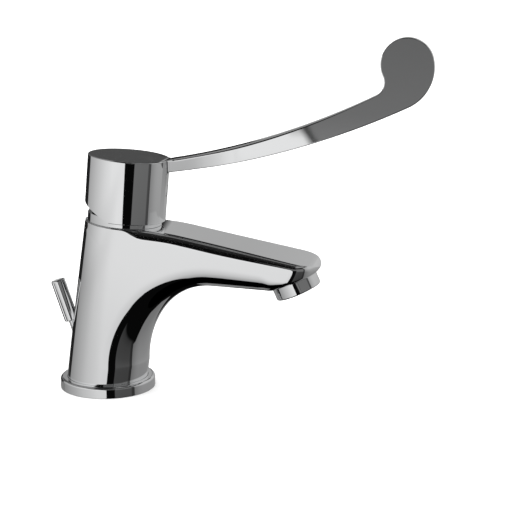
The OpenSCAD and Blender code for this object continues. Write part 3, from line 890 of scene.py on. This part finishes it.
class TAP_OT_make_handle(bpy.types.Operator):
    """Turns the hub, draws out the hooked lever and joins them"""

    bl_idname = "tap.make_handle"
    bl_label = "Make Handle"

    def lever(self, h):
        """The lever alone: its outline drawn out sideways, brought in to its width and bevelled."""
        form = Lever(h)
        # The two sides start well apart, and the half width then brings them in
        apart, sharp = 1.0, 0.8
        piece = loop_of(
            "lever", [Vector((p.x * MM, -apart / 2, p.y * MM)) for p in form.outline()], "NGON"
        )
        bpy.ops.mesh.extrude_region_move(TRANSFORM_OT_translate={"value": (0, apart, 0)})
        # Cuts across, closest at the crease, where the width changes fastest
        cuts = [form.leave.x, mix(form.leave.x, form.crease, 0.5)]
        cuts += [mix(form.crease, form.hub_r + 46, (step / 39) ** 1.4) for step in range(40)]
        for x in cuts:
            bpy.ops.mesh.select_all(action="SELECT")
            bpy.ops.mesh.bisect(plane_co=(x * MM, 0, 0), plane_no=(1, 0, 0))
        mesh = bmesh.from_edit_mesh(piece.data)
        for vert in mesh.verts:
            half = form.half_width(vert.co.x / MM, vert.co.z / MM)
            vert.co.y = math.copysign(half * MM, vert.co.y)
        mesh.normal_update()
        weight = mesh.edges.layers.float.new("bevel_weight_edge")
        for edge in mesh.edges:
            a, b = edge.verts
            if a.co.y * b.co.y > 0 and edge.calc_face_angle(0.0) > sharp:
                middle = (a.co + b.co) / 2 / MM
                edge[weight] = form.rounding(middle.x, middle.z) / h.lever_top
        bmesh.update_edit_mesh(piece.data)
        tidy_shell()
        only(piece)
        step = piece.modifiers.new("Edges", "BEVEL")
        step.limit_method, step.width, step.segments = "WEIGHT", h.lever_top * MM, 6
        step.use_clamp_overlap = False
        bpy.ops.object.modifier_apply(modifier=step.name)
        settle(piece, axis_place())
        return piece

    def execute(self, context):
        h = in_mm(context.scene.tap_handle)
        axis = axis_place()
        outside, inside = h.hub_d / 2, h.hub_d / 2 - h.hub_wall
        top = h.hub_gap + h.hub_height
        roof = top - h.hub_roof
        stem_r, screw_r = 8.0, 2.53
        screw = mix(h.hub_gap, top, SCREW_SHARE)
        piece = turned("hub_and_lever", [
            (0, roof, 0), (inside, roof, 0.8), (inside, h.hub_gap, 0.2),
            (outside, h.hub_gap, 0.45), (outside, top, h.hub_edge), (0, top, 0),
        ], axis, 192)
        slope = axis @ moved(-h.relief_back, 0, h.hub_gap, h.relief_angle)
        cut(piece, block_tool(slope, (-80, -50, -50), (0, 50, 0)))
        web = PLUG_R + 1.4
        join(
            piece,
            round_tool(axis, stem_r, 12, roof + 1),
            block_tool(axis, (0, -web, screw - web), (inside + 0.5, web, roof + 1)),
            self.lever(h),
        )
        socket = stem_r / 2 + FIT
        across = axis @ moved(0, 0, screw, math.pi / 2)
        cut(
            piece,
            block_tool(axis, (-socket, -socket, 11), (socket, socket, roof - 1 + FIT)),
            round_tool(across, screw_r, 0, 13, 48),
            round_tool(across, PLUG_R + FIT, 12, 40, 48),
        )
        hand_over(piece, "lever", "chrome_lever", "handle")
        return {"FINISHED"}


class TAP_OT_turn_screw_plug(bpy.types.Operator):
    """Turns the small plug that covers the handle's screw"""

    bl_idname = "tap.turn_screw_plug"
    bl_label = "Turn Screw Plug"

    def execute(self, context):
        h = in_mm(context.scene.tap_handle)
        screw = mix(h.hub_gap, h.hub_gap + h.hub_height, SCREW_SHARE)
        inner, outer = h.hub_d / 2 - h.hub_wall - 2, h.hub_d / 2 - 0.3
        piece = turned(
            "hub_plug", [(0, inner, 0), (PLUG_R, inner, 0.2), (PLUG_R, outer, 0.4), (0, outer, 0)],
            axis_place() @ moved(0, 0, screw, math.pi / 2), 64,
        )
        hand_over(piece, "lever", "chrome_lever", "screw_plug")
        return {"FINISHED"}


class TAP_OT_turn_outlet(bpy.types.Operator):
    """Turns the housing of the outlet with its thread spigot and lower lip"""

    bl_idname = "tap.turn_outlet"
    bl_label = "Turn Outlet"

    def execute(self, context):
        s = in_mm(context.scene.tap_body)
        r, low = s.outlet_d / 2, -s.outlet_drop
        lip, lip_r, bore_r, thread_r, top = low + 1.2, 8.6, 9.63, 12, 5
        piece = turned("outlet_housing", [
            (bore_r, lip, 0), (lip_r, lip, 0), (lip_r, low, 0.3), (r, low, 0.8),
            (r, OUTLET_SEAT, 0.1), (thread_r, OUTLET_SEAT, 0), (thread_r, top, 0.3),
            (bore_r, top, 0),
        ], outlet_place())
        hand_over(piece, "tap_body", "chrome_outlet", "aerator_housing")
        return {"FINISHED"}


class TAP_OT_turn_lift_rod(bpy.types.Operator):
    """Turns the lift rod and its knob"""

    bl_idname = "tap.turn_lift_rod"
    bl_label = "Turn Lift Rod"

    def execute(self, context):
        s = in_mm(context.scene.tap_rod)
        place = rod_place()
        r, bore = s.knob_d / 2, s.rod_d / 2 + FIT
        seat, top = s.knob_start + s.knob_length * 0.366, s.knob_start + s.knob_length
        rod = turned("pull_rod", [
            (0, 1, 0), (s.rod_d / 2, 1, 0.3), (s.rod_d / 2, seat, 0.3), (0, seat, 0),
        ], place, 64)
        knob = turned("pull_knob", [
            (0, seat, 0), (bore, seat, 0), (bore, s.knob_start, 0.1), (r, s.knob_start, 0.6),
            (r, top, 1.0), (0, top, 0),
        ], place, 96)
        hand_over(rod, "waste_rod", "chrome_rod", "lift_rod")
        hand_over(knob, "waste_rod", "chrome_rod", "lift_knob")
        return {"FINISHED"}


INNER_FINISHES = {
    "base_gasket": "rubber", "port_seals": "rubber", "aerator_seal": "rubber",
    "cartridge_base": "cartridge_plastic", "cartridge_housing": "cartridge_plastic",
    "thrust_ring": "carrier_plastic", "disc_carrier": "carrier_plastic",
    "turret": "carrier_plastic", "rod_bush": "carrier_plastic",
    "aerator_insert": "insert_plastic", "aerator_grille": "insert_plastic",
    "fixed_disc": "ceramic", "moving_disc": "ceramic",
    "pivot_pin": "steel", "grub_screw": "steel",
    "spindle": "brass", "retaining_nut": "brass",
}


class TAP_OT_finish_inner(bpy.types.Operator):
    """Gives the cartridge, seals and other inner pieces their own finishes"""

    bl_idname = "tap.finish_inner"
    bl_label = "Finish Inner Pieces"

    def execute(self, context):
        for name, slot in INNER_FINISHES.items():
            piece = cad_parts[name]
            piece.data.materials.clear()
            piece.data.materials.append(finish_of(slot, context.scene.tap_finish))
        return {"FINISHED"}


class Studio:
    """Brightness on the round studio's wall, by heading in degrees and height in millimetres.

    Heading zero is the front, ninety the nose's side. The wall is a few plain panels.
    """

    low, high = -1400, 1000
    # Headings where the left panel ends, the front gap ends, the right panel starts, and
    # where the back turns from the spout's side to the hub's
    left_end, gap_end, right_start, back_split = -117, 29.5, 82, -169.5

    def __init__(self, sheet, middle):
        self.sheet = sheet
        x, y, z = sheet.split("Object")
        around = sheet.node("Math", {"operation": "ARCTAN2"}, {0: x - middle, 1: 0 - y})
        self.heading = around * (180 / math.pi)
        self.height = z / MM

    def across(self, *stops, heading=None):
        """A level that changes with the heading."""
        found = [((degrees + 180) / 360, level) for degrees, level in stops]
        return self.sheet.ramp((heading or self.heading) / 360 + 0.5, found)

    def along(self, *stops):
        """A level that changes with the height."""
        span = self.high - self.low
        found = [((height - self.low) / span, level) for height, level in stops]
        return self.sheet.ramp((self.height - self.low) / span, found)

    def over(self, first, second, soft=1.0):
        """One where the first is larger than the second, with a soft edge."""
        return self.sheet.node(
            "Math", {"operation": "DIVIDE", "use_clamp": True},
            {0: first - second, 1: soft},
        )

    def between(self, low, high, soft=1.0):
        """One between two headings."""
        return self.over(self.heading, low, soft) * self.over(high, self.heading, soft)

    def slab(self, low, high, soft=25.0):
        """One between two heights."""
        return self.over(self.height, low, soft) * self.over(high, self.height, soft)

    def edge(self):
        """Heading of the left panel's slanting right edge."""
        return 10 * self.along(
            (-400, 0.95), (-180, 1.02), (-150, 0.98), (-60, 0.53), (0, 0.33), (30, 0.18), (60, 0.05)
        )

    def corner(self):
        """Heading, with the corner on the nose's side turned a little further round above."""
        return self.heading + 3 * self.along((-350, 0.0), (-100, 1.0))

    def left_panel(self):
        """The large soft panel from the left round to the front, fading towards its foot."""
        upper = self.across(
            (self.left_end, 0.39), (-110, 0.425), (-90, 0.52), (-70, 0.635), (-50, 0.76),
            (-30, 0.86), (0, 0.885),
        ) * self.along((-35, 0.87), (20, 1.0))
        lower = self.across(
            (self.left_end, 0.30), (-110, 0.338), (-90, 0.425), (-70, 0.517), (-50, 0.65),
            (-30, 0.74), (-10, 0.85),
        ) * self.along(
            (-1250, 0.42), (-1000, 0.5), (-700, 0.6), (-500, 0.72), (-300, 0.82), (-210, 0.88),
            (-60, 1.0),
        )
        part = self.along((-35, 0.0), (5, 1.0))
        bottom = -1000 * self.across(
            (-40, 0.76), (-28, 1.2), (-6, 1.25), (-2, 0.9), (2, 0.48), (6, 0.43)
        )
        top = 1000 * self.across((-45, 0.45), (-33, 0.3), (-16, 0.24), (-8, 0.2), (0, 0.06))
        level = upper * part + lower * (1 - part)
        return level * self.between(self.left_end, self.edge(), 0.6) * self.slab(bottom, top)

    def front_gap(self):
        """The dark gap at the front, with a dim strip above it."""
        level = self.along((22, 0.0), (28, 0.21), (60, 0.165), (140, 0.14), (300, 0.1), (500, 0.0))
        return level * self.between(self.edge(), self.gap_end, 0.6)

    def dim_wall(self):
        """The dim wall on the nose's side and the darker seam where the right panel starts."""
        level = self.along(
            (-570, 0.0), (-530, 0.03), (-450, 0.045), (-300, 0.057), (-200, 0.09), (-130, 0.135),
            (0, 0.16), (300, 0.16), (650, 0.0),
        )
        seam = self.across((73, 1.0), (76, 0.45), (80, 0.45), (83, 0.6), heading=self.corner())
        sides = self.over(self.heading, self.gap_end) * self.over(self.right_start, self.corner())
        return level * seam * sides

    def right_panel(self):
        """The grey panel from the nose round to the back."""
        level = self.along(
            (-1000, 0.18), (-650, 0.20), (-500, 0.225), (-300, 0.265), (-100, 0.37), (0, 0.42),
            (100, 0.52), (300, 0.55), (800, 0.5),
        )
        shade = self.across(
            (self.right_start, 0.62), (90, 0.78), (100, 0.93), (110, 1.0), heading=self.corner()
        )
        bottom = -1000 * self.across(
            (self.right_start, 0.52), (90, 0.56), (100, 0.72), (110, 0.90), (122, 1.08),
            (150, 1.08), (160, 0.95), (172, 0.80),
        )
        sides = self.over(self.corner(), self.right_start) * self.over(169, self.heading)
        return level * shade * sides * self.slab(bottom, 800)

    def back_wall(self):
        """The back: light ahead of the spout, dim behind the hub, dark at the lever's height."""
        light = self.along(
            (-400, 0.0), (-300, 0.28), (90, 0.34), (208, 0.42), (320, 0.42), (370, 0.52),
            (395, 0.01),
        )
        shade = self.slab(90, 208, 12.0) * self.between(-172.5, -160)
        dim = self.along(
            (-1000, 0.2), (-300, 0.3), (-215, 0.2), (-175, 0.02), (-150, 0.012), (60, 0.012),
            (140, 0.004), (200, 0.03), (225, 0.075), (350, 0.075), (420, 0.1), (800, 0.2),
        )
        nose_side = self.over(self.heading, 168) * self.across((168, 1.2), (180, 1.0))
        spout_side = self.over(self.back_split, self.heading)
        hub_side = self.between(self.back_split, self.left_end)
        low_light = self.across((-169, 0.34), (-160, 0.24), (-150, 0.2)) * self.slab(208, 272, 10.0)
        dim = dim + low_light * self.over(self.heading, -167.3)
        knob_light = 0.8 * self.between(-163, -149) * self.slab(28, 110, 8.0)
        return (nose_side + spout_side * (1 - shade)) * light + hub_side * dim + knob_light

    def knob_strips(self):
        """Low strips on the left that only the knob and its rod mirror: a light and two dark."""
        low = self.slab(-352, -254, 5.0)
        light = self.between(-94, -71, 3.0) * low
        dark = (self.between(-150, -95, 3.0) + self.between(-71, -48, 3.0)) * low
        return light, dark * self.along((-345, 0.7), (-290, 0.95))

    def high_glow(self):
        """A soft glow above the left panel."""
        return 0.3 * self.between(self.left_end, -26, 5.0) * self.slab(470, 960, 60.0)

    def brightness(self):
        """All the panels together, with a trace of light in the dark between them."""
        light, dark = self.knob_strips()
        behind = self.left_panel() + self.back_wall()
        walls = self.front_gap() + self.dim_wall() + self.right_panel() + self.high_glow()
        return behind * (1 - dark) + walls + 0.6 * light + 0.0025


class TAP_OT_set_stage(bpy.types.Operator):
    """Lays the floor, puts up the glowing studio wall, sets the surroundings and sets the camera"""

    bl_idname = "tap.set_stage"
    bl_label = "Set Stage"

    def floor(self, s):
        start_clean()
        bpy.ops.mesh.primitive_circle_add(vertices=96, radius=6.0, fill_type="NGON")
        floor = bpy.context.object
        floor.name = "floor"
        floor.data.materials.append(
            plain_finish("pale_floor", s.floor_colour, 0.8, speck=120.0, relief=0.001)
        )
        floor.visible_glossy = False

    def studio_wall(self, s):
        """The round studio that the chrome reflects. Only reflections show it."""
        start_clean()
        bpy.ops.mesh.primitive_circle_add(
            vertices=192, radius=s.studio_radius, location=(s.studio_middle, 0, Studio.low * MM)
        )
        wall = bpy.context.object
        wall.name = "studio_wall"
        bpy.ops.object.mode_set(mode="EDIT")
        bpy.ops.mesh.select_all(action="SELECT")
        rise = (Studio.high - Studio.low) * MM
        bpy.ops.mesh.extrude_region_move(TRANSFORM_OT_translate={"value": (0, 0, rise)})
        bpy.ops.object.mode_set(mode="OBJECT")
        bpy.ops.object.transform_apply(location=True, rotation=True, scale=True)
        material = bpy.data.materials.new("studio_wall")
        sheet = Sheet(material)
        glow = sheet.node(
            "Emission", {}, {"Color": Studio(sheet, s.studio_middle).brightness()}
        )
        sheet.node("OutputMaterial", {}, {"Surface": glow})
        material.cycles.emission_sampling = "NONE"
        wall.data.materials.append(material)
        wall.visible_camera = wall.visible_diffuse = wall.visible_shadow = False

    def surroundings(self, scene, s):
        """White paper to the eye and to matt surfaces, a dim ceiling and dark floor to mirrors."""
        world = bpy.data.worlds.new("studio")
        scene.world = world
        sheet = Sheet(world)
        x, y, z = sheet.split("Generated")
        ceiling = sheet.ramp(y * 0.5 + 0.5, [(0.0, 0.003), (0.5, 0.02), (1.0, 0.03)])
        above = sheet.ramp(z * 0.5 + 0.5, [(0.5, 0.0), (0.6, 1.0)])
        behind = sheet.ramp(y, [(0.0, 0.0), (0.05, 1.0)])
        overhead = sheet.ramp(z, [(0.9, 0.0), (0.92, 0.14)]) * behind
        aside = sheet.node("Math", {"operation": "ABSOLUTE"}, {0: x})
        steep = sheet.ramp(z, [(0.55, 0.0), (0.65, 1.0)])
        sides = sheet.ramp(aside, [(0.25, 0.0), (0.32, 0.25)]) * steep
        level = ceiling * above + overhead + sides
        glossy = sheet.node("LightPath", output="Is Glossy Ray")
        studio = sheet.node("Background", {}, {"Color": level})
        white = {"Color": (1, 1, 1, 1), "Strength": s.daylight}
        paper = sheet.node("Background", {}, white)
        mixed = sheet.node("MixShader", {}, {0: glossy, 1: paper, 2: studio})
        sheet.node("OutputWorld", {}, {"Surface": mixed})

    def camera(self, scene, s):
        start_clean()
        view = Vector(s.camera_target) - Vector(s.camera_place)
        bpy.ops.object.camera_add(
            location=s.camera_place, rotation=view.to_track_quat("-Z", "Y").to_euler()
        )
        camera = bpy.context.object
        camera.name = "photo_camera"
        camera.data.sensor_fit, camera.data.sensor_width = "AUTO", 36.0
        camera.data.lens = s.camera_lens
        camera.data.clip_start, camera.data.clip_end = 0.01, 50.0
        scene.camera = camera

    def execute(self, context):
        s = context.scene.tap_stage
        self.floor(s)
        self.studio_wall(s)
        self.surroundings(context.scene, s)
        self.camera(context.scene, s)
        context.scene.view_settings.view_transform = "Standard"
        return {"FINISHED"}


OPERATORS = (
    TAP_OT_cast_body,
    TAP_OT_turn_base_ring,
    TAP_OT_turn_collar,
    TAP_OT_make_handle,
    TAP_OT_turn_screw_plug,
    TAP_OT_turn_outlet,
    TAP_OT_turn_lift_rod,
    TAP_OT_finish_inner,
    TAP_OT_set_stage,
)


class TAP_PT_workshop(bpy.types.Panel):
    """Lists the tap's pieces and their sizes"""

    bl_idname = "TAP_PT_workshop"
    bl_label = "Elbow Lever Tap"
    bl_space_type = "VIEW_3D"
    bl_region_type = "UI"
    bl_category = "Tap"

    def draw(self, context):
        for step in OPERATORS:
            self.layout.operator(step.bl_idname)
        for name, group in SETTINGS.items():
            box = self.layout.box()
            for prop in group.__annotations__:
                box.prop(getattr(context.scene, name), prop)


def register():
    for item in (*SETTINGS.values(), *OPERATORS, TAP_PT_workshop):
        bpy.utils.register_class(item)
    for name, group in SETTINGS.items():
        setattr(bpy.types.Scene, name, bpy.props.PointerProperty(type=group))


def unregister():
    for name in SETTINGS:
        delattr(bpy.types.Scene, name)
    for item in (TAP_PT_workshop, *reversed(OPERATORS), *reversed(SETTINGS.values())):
        bpy.utils.unregister_class(item)


def main():
    register()
    for step in OPERATORS:
        group, name = step.bl_idname.split(".")
        getattr(getattr(bpy.ops, group), name)()
    start_clean()


if __name__ == "__main__":
    main()
